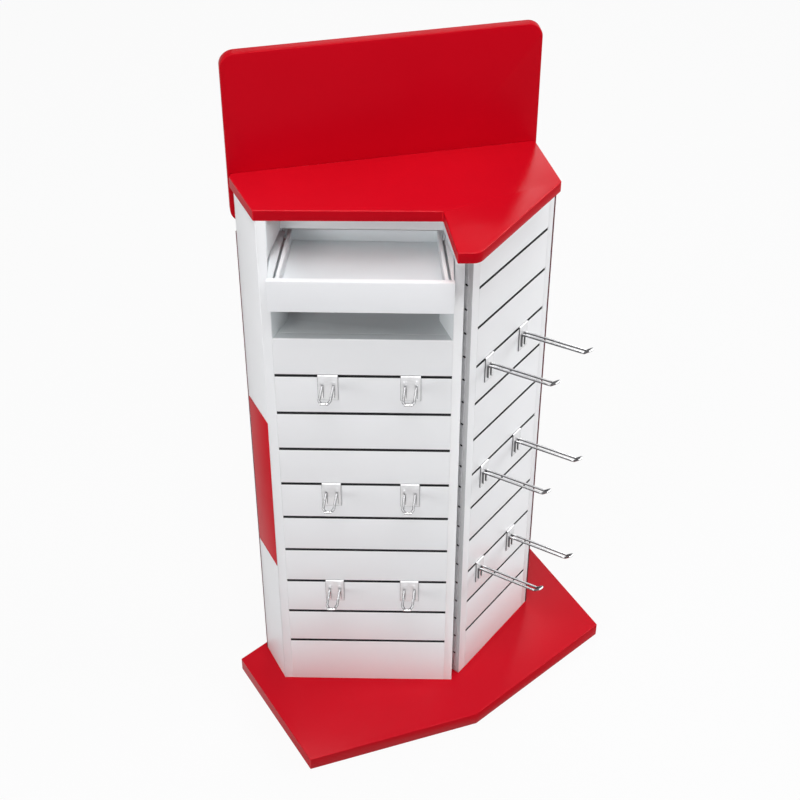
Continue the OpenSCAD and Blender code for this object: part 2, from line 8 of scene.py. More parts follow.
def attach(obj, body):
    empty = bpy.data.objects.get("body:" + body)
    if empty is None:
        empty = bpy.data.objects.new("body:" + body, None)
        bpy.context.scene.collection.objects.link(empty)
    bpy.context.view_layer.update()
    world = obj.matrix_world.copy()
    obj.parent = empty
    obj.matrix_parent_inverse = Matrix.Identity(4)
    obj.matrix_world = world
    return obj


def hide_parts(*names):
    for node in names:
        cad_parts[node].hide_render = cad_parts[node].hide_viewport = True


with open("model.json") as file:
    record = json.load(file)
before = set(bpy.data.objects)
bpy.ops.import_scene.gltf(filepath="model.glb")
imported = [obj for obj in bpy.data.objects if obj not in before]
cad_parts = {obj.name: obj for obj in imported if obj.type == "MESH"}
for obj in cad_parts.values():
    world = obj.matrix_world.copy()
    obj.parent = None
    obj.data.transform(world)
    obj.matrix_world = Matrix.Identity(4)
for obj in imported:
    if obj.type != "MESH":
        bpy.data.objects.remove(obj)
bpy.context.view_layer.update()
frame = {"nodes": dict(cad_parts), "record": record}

cadNodes = frame["nodes"]
bodyOfNode = {node: body for body, nodes in frame["record"]["behaviour"]["bodies"].items() for node in nodes}
bpy.context.scene.view_settings.view_transform = "Standard"
print("frame loaded with", len(cadNodes), "nodes")


# Camera, lights and floor

camera = {
    "place": (-0.0064, -2.6976, 3.3208),
    "yaw": -0.963,        # degrees to the right of +Y
    "pitch": 42.975,      # degrees below the horizon
    "roll": 0.0767,
    "lens": 81.0,
    "sensor": 36.0,
    "shiftX": 0.00125,
    "farClip": 60.0,
}


def addCamera(look):
    yaw, pitch, roll = (math.radians(look[name]) for name in ("yaw", "pitch", "roll"))
    ahead = Vector((math.sin(yaw) * math.cos(pitch), math.cos(yaw) * math.cos(pitch), -math.sin(pitch)))
    level = Vector((math.cos(yaw), -math.sin(yaw), 0))
    above = level.cross(ahead)
    right = math.cos(roll) * level + math.sin(roll) * above
    up = math.cos(roll) * above - math.sin(roll) * level
    data = bpy.data.cameras.new("photoCamera")
    data.lens, data.sensor_width = look["lens"], look["sensor"]
    data.shift_x = look["shiftX"]
    data.clip_end = look["farClip"]
    seen = bpy.data.objects.new("photoCamera", data)
    turned = Matrix((right, up, -ahead)).transposed().to_4x4()
    seen.matrix_world = Matrix.Translation(look["place"]) @ turned
    bpy.context.scene.collection.objects.link(seen)
    bpy.context.scene.camera = seen


addCamera(camera)

studio = {
    "skyLow": (0.80, 0.80, 0.81),
    "skyHigh": (1.0, 1.0, 1.0),
    "skyStrength": 0.05,
    "lamps": {
        "leftLamp": {"place": (-2.869, -2.869, 1.887), "aim": (0.0, 0.0, 0.8), "size": 2.2, "power": 73},
        "frontLamp": {"place": (0.0, -4.057, 1.887), "aim": (0.0, 0.0, 0.8), "size": 2.2, "power": 15},
        "keyLamp": {"place": (0.0, -1.775, 4.606), "aim": (0.0, 0.0, 0.8), "size": 2.2, "power": 95},
        "topLamp": {"place": (0.0, -0.073, 5.0), "aim": (0.0, 0.0, 0.8), "size": 2.2, "power": 42},
        "backLamp": {"place": (0.0, 3.217, 3.5), "aim": (0.0, 0.0, 0.8), "size": 2.2, "power": 48},
        "rightLamp": {"place": (4.057, 0.0, 1.887), "aim": (0.0, 0.0, 0.8), "size": 2.2, "power": 108},
    },
    "floorSize": 16.0,
    "floorDrop": 0.0005,  # how far the floor lies under the base plate
    "floorColour": (0.60, 0.60, 0.61),
    "floorShown": 0.93,   # how much plain white the camera sees in the floor
}


def wire(tree, source, target):
    tree.links.new(source, target)


def addMath(tree, operation, first, second, clamp=False):
    step = tree.nodes.new("ShaderNodeMath")
    step.operation, step.use_clamp = operation, clamp
    for socket, value in zip(step.inputs, (first, second)):
        if isinstance(value, (int, float)):
            socket.default_value = value
        else:
            wire(tree, value, socket)
    return step.outputs[0]


def seenPlainly(tree):
    # 1 for what the camera sees, straight or in a reflection
    path = tree.nodes.new("ShaderNodeLightPath")
    total = path.outputs["Is Camera Ray"]
    for name in ("Is Glossy Ray", "Is Transmission Ray"):
        total = addMath(tree, "MAXIMUM", total, path.outputs[name])
    return total


def addSky(look):
    world = bpy.data.worlds.new("studioSky")
    bpy.context.scene.world = world
    world.use_nodes = True
    tree = world.node_tree
    tree.nodes.clear()
    place = tree.nodes.new("ShaderNodeTexCoord")
    parts = tree.nodes.new("ShaderNodeSeparateXYZ")
    wire(tree, place.outputs["Generated"], parts.inputs[0])
    shade = tree.nodes.new("ShaderNodeMix")
    shade.data_type = "RGBA"
    shade.inputs["A"].default_value = (*look["skyLow"], 1)
    shade.inputs["B"].default_value = (*look["skyHigh"], 1)
    wire(tree, parts.outputs["Z"], shade.inputs["Factor"])
    ambient = tree.nodes.new("ShaderNodeBackground")
    ambient.inputs["Strength"].default_value = look["skyStrength"]
    wire(tree, shade.outputs["Result"], ambient.inputs["Color"])
    shown = tree.nodes.new("ShaderNodeBackground")
    shown.inputs["Color"].default_value = (1, 1, 1, 1)
    shown.inputs["Strength"].default_value = 1.0
    blend = tree.nodes.new("ShaderNodeMixShader")
    wire(tree, seenPlainly(tree), blend.inputs["Fac"])
    wire(tree, ambient.outputs[0], blend.inputs[1])
    wire(tree, shown.outputs[0], blend.inputs[2])
    output = tree.nodes.new("ShaderNodeOutputWorld")
    wire(tree, blend.outputs[0], output.inputs["Surface"])


def addLamps(look):
    for name, lamp in look["lamps"].items():
        data = bpy.data.lights.new(name, "AREA")
        data.shape, data.size, data.energy = "DISK", lamp["size"], lamp["power"]
        held = bpy.data.objects.new(name, data)
        place = Vector(lamp["place"])
        held.location = place
        held.rotation_mode = "QUATERNION"
        held.rotation_quaternion = (Vector(lamp["aim"]) - place).to_track_quat("-Z", "Y")
        bpy.context.scene.collection.objects.link(held)


def addFloor(look):
    half, level = look["floorSize"] / 2, -look["floorDrop"]
    mesh = bpy.data.meshes.new("studioFloor")
    corners = [(-half, -half, level), (half, -half, level), (half, half, level), (-half, half, level)]
    mesh.from_pydata(corners, [], [(0, 1, 2, 3)])
    paint = bpy.data.materials.new("floorPaint")
    paint.use_nodes = True
    tree = paint.node_tree
    tree.nodes.clear()
    matt = tree.nodes.new("ShaderNodeBsdfDiffuse")
    matt.inputs["Color"].default_value = (*look["floorColour"], 1)
    plain = tree.nodes.new("ShaderNodeEmission")
    blend = tree.nodes.new("ShaderNodeMixShader")
    wire(tree, addMath(tree, "MULTIPLY", seenPlainly(tree), look["floorShown"]), blend.inputs["Fac"])
    wire(tree, matt.outputs[0], blend.inputs[1])
    wire(tree, plain.outputs[0], blend.inputs[2])
    output = tree.nodes.new("ShaderNodeOutputMaterial")
    wire(tree, blend.outputs[0], output.inputs["Surface"])
    mesh.materials.append(paint)
    floor = bpy.data.objects.new("studioFloor", mesh)
    bpy.context.scene.collection.objects.link(floor)


addSky(studio)
addLamps(studio)
addFloor(studio)
print("camera, lights and floor are in place")


# Shader groups that several finishes share

def newGroup(name, inputs, outputs):
    group = bpy.data.node_groups.new(name, "ShaderNodeTree")
    kinds = {"value": "NodeSocketFloat", "vector": "NodeSocketVector", "colour": "NodeSocketColor"}
    for label, kind, start in inputs:
        socket = group.interface.new_socket(label, in_out="INPUT", socket_type=kinds[kind])
        if start is not None:
            socket.default_value = start
    for label, kind in outputs:
        group.interface.new_socket(label, in_out="OUTPUT", socket_type=kinds[kind])
    return group, group.nodes.new("NodeGroupInput"), group.nodes.new("NodeGroupOutput")


def addNoise(tree, vector, scale, detail=3.0, roughness=0.5):
    noise = tree.nodes.new("ShaderNodeTexNoise")
    noise.inputs["Detail"].default_value = detail
    noise.inputs["Roughness"].default_value = roughness
    wire(tree, vector, noise.inputs["Vector"])
    if isinstance(scale, (int, float)):
        noise.inputs["Scale"].default_value = scale
    else:
        wire(tree, scale, noise.inputs["Scale"])
    return noise.outputs["Fac"]


def addRange(tree, value, low, high, toLow=0.0, toHigh=1.0):
    step = tree.nodes.new("ShaderNodeMapRange")
    step.interpolation_type = "SMOOTHSTEP"
    wire(tree, value, step.inputs["Value"])
    for label, number in (("From Min", low), ("From Max", high), ("To Min", toLow), ("To Max", toHigh)):
        step.inputs[label].default_value = number
    return step.outputs["Result"]


# Scales are per metre; a span is the noise that turns into 0 to 1
grain = {"fineDetail": 2.0, "fineRough": 0.45, "slowDetail": 2.0, "slowRough": 0.5,
         "cloudScale": 3.1, "cloudDetail": 4.0, "cloudRough": 0.55, "cloudSpan": (0.3, 0.7)}
wear = {"patchScale": 17.0, "patchDetail": 4.0, "patchRough": 0.6, "patchSpan": (0.42, 0.68),
        "patchShare": 0.7, "chipScale": 240.0, "chipDetail": 3.0, "chipRough": 0.7,
        "chipSpan": (0.5, 0.72), "chipShare": 0.3}
dust = {"upSpan": (0.6, 0.98), "filmScale": 6.5, "filmDetail": 5.0, "filmRough": 0.6,
        "filmSpan": (0.35, 0.75), "filmLeast": 0.35, "filmShare": 0.75, "speckScale": 520.0,
        "speckDetail": 2.0, "speckRough": 0.6, "speckSpan": (0.62, 0.78), "speckShare": 0.5}
brush = {"lineDetail": 3.0, "lineRough": 0.6, "lineSpan": (0.3, 0.7), "cloudScale": 34.0,
         "cloudDetail": 4.0, "cloudRough": 0.6, "cloudSpan": (0.35, 0.7)}


def makeGrainGroup():
    # Fine pebbled skin of paint and laminate, with a slow unevenness under it
    group, given, result = newGroup("finishGrain", [
        ("Vector", "vector", None), ("Fine Scale", "value", 900.0), ("Slow Scale", "value", 9.0),
        ("Slow Share", "value", 0.35)], [("Height", "value"), ("Tone", "value")])
    place = given.outputs["Vector"]
    fine = addNoise(group, place, given.outputs["Fine Scale"], grain["fineDetail"], grain["fineRough"])
    slow = addNoise(group, place, given.outputs["Slow Scale"], grain["slowDetail"], grain["slowRough"])
    cloud = addNoise(group, place, grain["cloudScale"], grain["cloudDetail"], grain["cloudRough"])
    kept = addMath(group, "SUBTRACT", 1.0, given.outputs["Slow Share"])
    height = addMath(group, "ADD", addMath(group, "MULTIPLY", fine, kept),
                     addMath(group, "MULTIPLY", slow, given.outputs["Slow Share"]))
    wire(group, height, result.inputs["Height"])
    wire(group, addRange(group, cloud, *grain["cloudSpan"]), result.inputs["Tone"])
    return group


def makeWearAndHighlightGroup():
    # Rounded arrises: the share of a rounded edge that takes its edge colour and loses gloss; this is rubbed
    # wear on most finishes, a painted highlight on the slat and shelf whites, and in part a painted highlight
    # on the red lacquers
    group, given, result = newGroup("edgeWearAndHighlight", [
        ("Vector", "vector", None), ("Edge", "value", 0.0), ("Amount", "value", 0.3)], [("Mask", "value")])
    place = given.outputs["Vector"]
    patchy = addNoise(group, place, wear["patchScale"], wear["patchDetail"], wear["patchRough"])
    chipped = addNoise(group, place, wear["chipScale"], wear["chipDetail"], wear["chipRough"])
    patch = addMath(group, "MULTIPLY", addRange(group, patchy, *wear["patchSpan"]), wear["patchShare"])
    chips = addMath(group, "MULTIPLY", addRange(group, chipped, *wear["chipSpan"]), wear["chipShare"])
    both = addMath(group, "MULTIPLY", addMath(group, "ADD", patch, chips), given.outputs["Edge"])
    wire(group, addMath(group, "MULTIPLY", both, given.outputs["Amount"], True), result.inputs["Mask"])
    return group


def makeDustGroup():
    # A thin film of dust on faces that look up
    group, given, result = newGroup("dustFilm", [
        ("Vector", "vector", None), ("Amount", "value", 0.1)], [("Mask", "value")])
    surface = group.nodes.new("ShaderNodeNewGeometry")
    parts = group.nodes.new("ShaderNodeSeparateXYZ")
    wire(group, surface.outputs["True Normal"], parts.inputs[0])
    up = addRange(group, parts.outputs["Z"], *dust["upSpan"])
    place = given.outputs["Vector"]
    filmy = addNoise(group, place, dust["filmScale"], dust["filmDetail"], dust["filmRough"])
    specky = addNoise(group, place, dust["speckScale"], dust["speckDetail"], dust["speckRough"])
    film = addRange(group, filmy, *dust["filmSpan"], dust["filmLeast"], 1.0)
    specks = addRange(group, specky, *dust["speckSpan"])
    both = addMath(group, "ADD", addMath(group, "MULTIPLY", film, dust["filmShare"]),
                   addMath(group, "MULTIPLY", specks, dust["speckShare"]))
    held = addMath(group, "MULTIPLY", addMath(group, "MULTIPLY", both, up), given.outputs["Amount"], True)
    wire(group, held, result.inputs["Mask"])
    return group


def makeBrushGroup():
    # Drawn or rolled metal: fine lines along one axis, with a cloudy tarnish
    group, given, result = newGroup("drawnLines", [
        ("Vector", "vector", None), ("Stretch", "vector", (1.0, 1.0, 1.0)), ("Scale", "value", 300.0)],
        [("Height", "value"), ("Tone", "value"), ("Cloud", "value")])
    pulled = group.nodes.new("ShaderNodeVectorMath")
    pulled.operation = "MULTIPLY"
    wire(group, given.outputs["Vector"], pulled.inputs[0])
    wire(group, given.outputs["Stretch"], pulled.inputs[1])
    lines = addNoise(group, pulled.outputs[0], given.outputs["Scale"], brush["lineDetail"],
                     brush["lineRough"])
    cloud = addNoise(group, given.outputs["Vector"], brush["cloudScale"], brush["cloudDetail"],
                     brush["cloudRough"])
    wire(group, lines, result.inputs["Height"])
    wire(group, addRange(group, lines, *brush["lineSpan"]), result.inputs["Tone"])
    wire(group, addRange(group, cloud, *brush["cloudSpan"]), result.inputs["Cloud"])
    return group


grainGroup = makeGrainGroup()
wearAndHighlightGroup = makeWearAndHighlightGroup()
dustGroup = makeDustGroup()
brushGroup = makeBrushGroup()


def placeGroup(tree, group, values):
    node = tree.nodes.new("ShaderNodeGroup")
    node.node_tree = group
    for label, value in values.items():
        if hasattr(value, "is_linked"):
            wire(tree, value, node.inputs[label])
        else:
            node.inputs[label].default_value = value
    return node


def mixColour(tree, share, first, second):
    node = tree.nodes.new("ShaderNodeMix")
    node.data_type = "RGBA"
    wire(tree, share, node.inputs["Factor"])
    for label, colour in (("A", first), ("B", second)):
        if isinstance(colour, tuple):
            node.inputs[label].default_value = (*colour, 1)
        else:
            wire(tree, colour, node.inputs[label])
    return node.outputs["Result"]


def newFinish(name):
    paint = bpy.data.materials.new(name)
    paint.use_nodes = True
    tree = paint.node_tree
    shader = tree.nodes["Principled BSDF"]
    place = tree.nodes.new("ShaderNodeTexCoord")
    edge = tree.nodes.new("ShaderNodeAttribute")
    edge.attribute_name = "arris"
    return paint, tree, shader, place.outputs["Object"], edge.outputs["Fac"]


def addBump(tree, shader, height, strength, distance):
    bump = tree.nodes.new("ShaderNodeBump")
    bump.inputs["Strength"].default_value = strength
    bump.inputs["Distance"].default_value = distance
    wire(tree, height, bump.inputs["Height"])
    wire(tree, bump.outputs["Normal"], shader.inputs["Normal"])


# Colours are linear

# What the red lacquers and the white laminates have in common
lacquer = {"dusty": (0.62, 0.3, 0.28), "wear": 0.25, "fine": 620.0, "slow": 24.0, "slowShare": 0.5,
           "bump": 0.05, "bumpDepth": 0.0001}
laminate = {"dusty": (0.62, 0.61, 0.6), "wear": 0.2, "roughness": 0.4, "specular": 0.35, "fine": 1500.0,
            "slow": 210.0, "slowShare": 0.45, "bump": 0.12, "bumpDepth": 0.0001}

paints = {
    "redLacquer": {**lacquer, "colour": (0.575, 0.003, 0.0125), "deep": (0.545, 0.0026, 0.011),
                   "worn": (0.72, 0.04, 0.05), "dusty": (0.64, 0.3, 0.28), "dust": 0.004,
                   "roughness": 0.24, "specular": 0.115},
    "redBase": {**lacquer, "colour": (0.53, 0.0026, 0.0125), "deep": (0.505, 0.0022, 0.011),
                "worn": (0.66, 0.04, 0.05), "dusty": (0.6, 0.3, 0.28), "dust": 0.004, "roughness": 0.3,
                "specular": 0.12},
    # A darker copy of the red lacquer for upright faces: painted shade
    "redUprightShaded": {**lacquer, "colour": (0.47, 0.0012, 0.0085), "deep": (0.45, 0.0011, 0.0078),
                   "worn": (0.66, 0.03, 0.04), "dust": 0.003, "wear": 0.12, "roughness": 0.34,
                   "specular": 0.04},
    "redSheet": {**lacquer, "colour": (0.6, 0.004, 0.013), "deep": (0.55, 0.003, 0.011),
                 "worn": (0.66, 0.1, 0.1), "dust": 0.02, "wear": 0.35, "roughness": 0.42, "specular": 0.25,
                 "fine": 1300.0, "slow": 60.0, "slowShare": 0.4, "bump": 0.22, "bumpDepth": 0.00015},
    "redBand": {**lacquer, "colour": (0.575, 0.0035, 0.013), "deep": (0.55, 0.003, 0.012),
                "worn": (0.66, 0.08, 0.09), "dust": 0.005, "wear": 0.15, "roughness": 0.34,
                "specular": 0.025, "fine": 500.0, "slow": 15.0, "slowShare": 0.75, "bump": 0.08},
    "whiteLaminate": {**laminate, "colour": (0.82, 0.825, 0.84), "deep": (0.795, 0.8, 0.815),
                      "worn": (0.62, 0.61, 0.6), "dusty": (0.66, 0.64, 0.62), "dust": 0.05, "wear": 0.22,
                      "roughness": 0.36, "specular": 0.42, "bump": 0.16, "bumpDepth": 0.00012},
    # A darker, cooler copy of the laminate for faces inside the cabinet: painted shade
    "innerShadedWhite": {**laminate, "colour": (0.74, 0.775, 0.79), "deep": (0.715, 0.75, 0.765),
                   "worn": (0.66, 0.66, 0.66), "dust": 0.04},
    # A darker white for the bay shelf and the front slat panel's top: painted shade; its bright rounded edges
    # are a painted highlight
    "shelfShadedWhite": {**laminate, "colour": (0.58, 0.61, 0.62), "deep": (0.56, 0.59, 0.6),
                   "worn": (0.95, 0.95, 0.95), "dusty": (0.52, 0.51, 0.5), "dust": 0.04, "wear": 0.7,
                   "roughness": 0.42, "specular": 0.3},
    # Grey for the near post's face in the V: painted shade in the recess
    "veeShadeGrey": {**laminate, "colour": (0.5, 0.5, 0.51), "deep": (0.48, 0.48, 0.49),
                "worn": (0.5, 0.5, 0.5), "dusty": (0.42, 0.41, 0.4), "dust": 0.03, "roughness": 0.42,
                "specular": 0.3, "fine": 1300.0, "slow": 160.0},
    "redEdge": {**lacquer, "colour": (0.15, 0.045, 0.055), "deep": (0.12, 0.036, 0.045),
                "worn": (0.2, 0.08, 0.09), "dusty": (0.3, 0.22, 0.22), "dust": 0.02, "wear": 0.2,
                "roughness": 0.5, "specular": 0.2, "fine": 1300.0, "slow": 60.0, "slowShare": 0.4,
                "bump": 0.1},
    # A brighter white for the divider; on the front slat panel's top front arris it is a painted highlight
    "edgeWhite": {**laminate, "colour": (0.92, 0.925, 0.935), "deep": (0.9, 0.905, 0.915),
                  "worn": (0.7, 0.69, 0.68), "dusty": (0.7, 0.68, 0.66), "dust": 0.03, "roughness": 0.36,
                  "specular": 0.42},
    # Its bright rounded edges, around the grooves and at the top, are a painted highlight
    "slatWhite": {**laminate, "colour": (0.84, 0.845, 0.86), "deep": (0.82, 0.825, 0.84),
                  "worn": (0.95, 0.95, 0.955), "dusty": (0.68, 0.66, 0.65), "dust": 0.04, "wear": 0.7,
                  "roughness": 0.32, "specular": 0.42, "fine": 1200.0, "slow": 90.0, "slowShare": 0.4},
    "drawerFace": {**laminate, "colour": (0.8, 0.808, 0.828), "deep": (0.78, 0.788, 0.808),
                   "worn": (0.7, 0.7, 0.7), "dust": 0.02},
    # A brighter white for the top faces of the drawer parts: painted highlight
    "drawerTopHighlight": {**laminate, "colour": (0.91, 0.95, 0.96), "deep": (0.9, 0.94, 0.95),
                   "worn": (0.92, 0.94, 0.94), "dust": 0.02},
    # Painted light: the cool tint of the drawer whites cancels the red light bounced into the tray
    "drawerWhite": {**laminate, "colour": (0.8, 0.845, 0.865), "deep": (0.78, 0.825, 0.845),
                    "worn": (0.7, 0.69, 0.68), "dusty": (0.66, 0.64, 0.62), "dust": 0.05,
                    "roughness": 0.34, "specular": 0.42, "slow": 160.0, "slowShare": 0.5},
    # Black for the groove liners; on bores and on the slat panels' groove faces it is painted shade
    "blackLinerAndRecessShade": {"colour": (0.012, 0.012, 0.014), "deep": (0.008, 0.008, 0.01),
                   "worn": (0.03, 0.03, 0.032), "dusty": (0.12, 0.12, 0.115), "dust": 0.03, "wear": 0.2,
                   "roughness": 0.38, "specular": 0.35, "fine": 900.0, "slow": 70.0, "slowShare": 0.3,
                   "bump": 0.2, "bumpDepth": 0.00012},
}


# How much each mask changes the roughness
dulling = {"tone": -0.05, "toneMiddle": 0.025, "dust": 1.2, "wear": 0.2, "lines": 0.05}
metalWear = 0.6


def makePaint(name, look):
    paint, tree, shader, place, edge = newFinish(name)
    skin = placeGroup(tree, grainGroup, {"Vector": place, "Fine Scale": look["fine"],
                                         "Slow Scale": look["slow"], "Slow Share": look["slowShare"]})
    rubbedAndHighlit = placeGroup(tree, wearAndHighlightGroup, {"Vector": place, "Edge": edge, "Amount": look["wear"]})
    dusted = placeGroup(tree, dustGroup, {"Vector": place, "Amount": look["dust"]})
    tone, rubAndHighlight, film = skin.outputs["Tone"], rubbedAndHighlit.outputs["Mask"], dusted.outputs["Mask"]
    # Rounded edges take their edge colour: rubbed wear on most finishes, a painted highlight on the slat and
    # shelf whites, and in part a painted highlight on the reds
    base = mixColour(tree, rubAndHighlight, mixColour(tree, tone, look["deep"], look["colour"]), look["worn"])
    wire(tree, mixColour(tree, film, base, look["dusty"]), shader.inputs["Base Color"])
    gloss = addMath(tree, "ADD", addMath(tree, "MULTIPLY", tone, dulling["tone"]),
                    look["roughness"] + dulling["toneMiddle"])
    dulled = addMath(tree, "ADD", gloss, addMath(tree, "MULTIPLY", film, dulling["dust"]))
    rough = addMath(tree, "ADD", dulled, addMath(tree, "MULTIPLY", rubAndHighlight, dulling["wear"]), True)
    wire(tree, rough, shader.inputs["Roughness"])
    shader.inputs["Specular IOR Level"].default_value = look["specular"]
    addBump(tree, shader, skin.outputs["Height"], look["bump"], look["bumpDepth"])
    return paint


metals = {
    "brightZinc": {"colour": (0.74, 0.74, 0.75), "dull": (0.66, 0.66, 0.67), "worn": (0.95, 0.95, 0.95),
                   "roughness": 0.42, "spread": 0.1, "stretch": (1.0, 1.0, 1.0), "scale": 260.0,
                   "bump": 0.06, "bumpDepth": 0.0001},
    # The wire's dark flank colour is a painted reflection: shade painted on the sides that face away from
    # litWay
    "drawnWire": {"colour": (0.9, 0.9, 0.9), "dull": (0.78, 0.78, 0.79), "worn": (0.95, 0.95, 0.95),
                  "flank": (0.15, 0.15, 0.155), "roughness": 0.2, "spread": 0.1,
                  "stretch": (1.0, 1.0, 1.0), "scale": 260.0, "bump": 0.05, "bumpDepth": 0.0001},
    # Dark finish for the hook plates' side edges and underside: painted shade
    "shadedCutEdge": {"colour": (0.2, 0.2, 0.205), "dull": (0.14, 0.14, 0.145), "worn": (0.3, 0.3, 0.3),
                "roughness": 0.4, "spread": 0.1, "stretch": (1.0, 1.0, 0.1), "scale": 600.0, "bump": 0.15,
                "bumpDepth": 0.0001},
    "zincScrew": {"colour": (0.66, 0.66, 0.67), "dull": (0.42, 0.42, 0.43), "worn": (0.8, 0.8, 0.8),
                  "roughness": 0.28, "spread": 0.16, "stretch": (1.0, 1.0, 1.0), "scale": 420.0,
                  "bump": 0.25, "bumpDepth": 0.0001},
    "rolledStrip": {"colour": (0.7, 0.7, 0.71), "dull": (0.6, 0.6, 0.61), "worn": (0.6, 0.6, 0.61),
                    "roughness": 0.36, "spread": 0.12, "stretch": (1.0, 1.0, 0.06), "scale": 900.0,
                    "bump": 0.2, "bumpDepth": 0.0001},
    "slideSteel": {"colour": (0.62, 0.63, 0.65), "dull": (0.46, 0.47, 0.49), "worn": (0.78, 0.78, 0.79),
                   "roughness": 0.3, "spread": 0.14, "stretch": (1.0, 0.05, 1.0), "scale": 800.0,
                   "bump": 0.2, "bumpDepth": 0.0001},
}


def makeMetal(name, look):
    metal, tree, shader, place, edge = newFinish(name)
    lines = placeGroup(tree, brushGroup, {"Vector": place, "Stretch": look["stretch"],
                                          "Scale": look["scale"]})
    rubbedAndHighlit = placeGroup(tree, wearAndHighlightGroup, {"Vector": place, "Edge": edge, "Amount": metalWear})
    clouded = mixColour(tree, lines.outputs["Cloud"], look["colour"], look["dull"])
    bright = mixColour(tree, rubbedAndHighlit.outputs["Mask"], clouded, look["worn"])
    # Painted reflection: a baked mask darkens the wire's flanks
    if "flank" in look:
        flank = tree.nodes.new("ShaderNodeAttribute")
        flank.attribute_name = "flank"
        bright = mixColour(tree, flank.outputs["Fac"], bright, look["flank"])
    wire(tree, bright, shader.inputs["Base Color"])
    rough = addMath(tree, "ADD", addMath(tree, "MULTIPLY", lines.outputs["Cloud"], look["spread"]),
                    look["roughness"])
    streaks = addMath(tree, "MULTIPLY", lines.outputs["Tone"], dulling["lines"])
    wire(tree, addMath(tree, "ADD", rough, streaks, True), shader.inputs["Roughness"])
    shader.inputs["Metallic"].default_value = 1.0
    addBump(tree, shader, lines.outputs["Height"], look["bump"], look["bumpDepth"])
    return metal


finishes = {name: makePaint(name, look) for name, look in paints.items()}
finishes.update({name: makeMetal(name, look) for name, look in metals.items()})
print("finishes made:", ", ".join(finishes))


# Boards: each one is its CAD board with rounded arrises

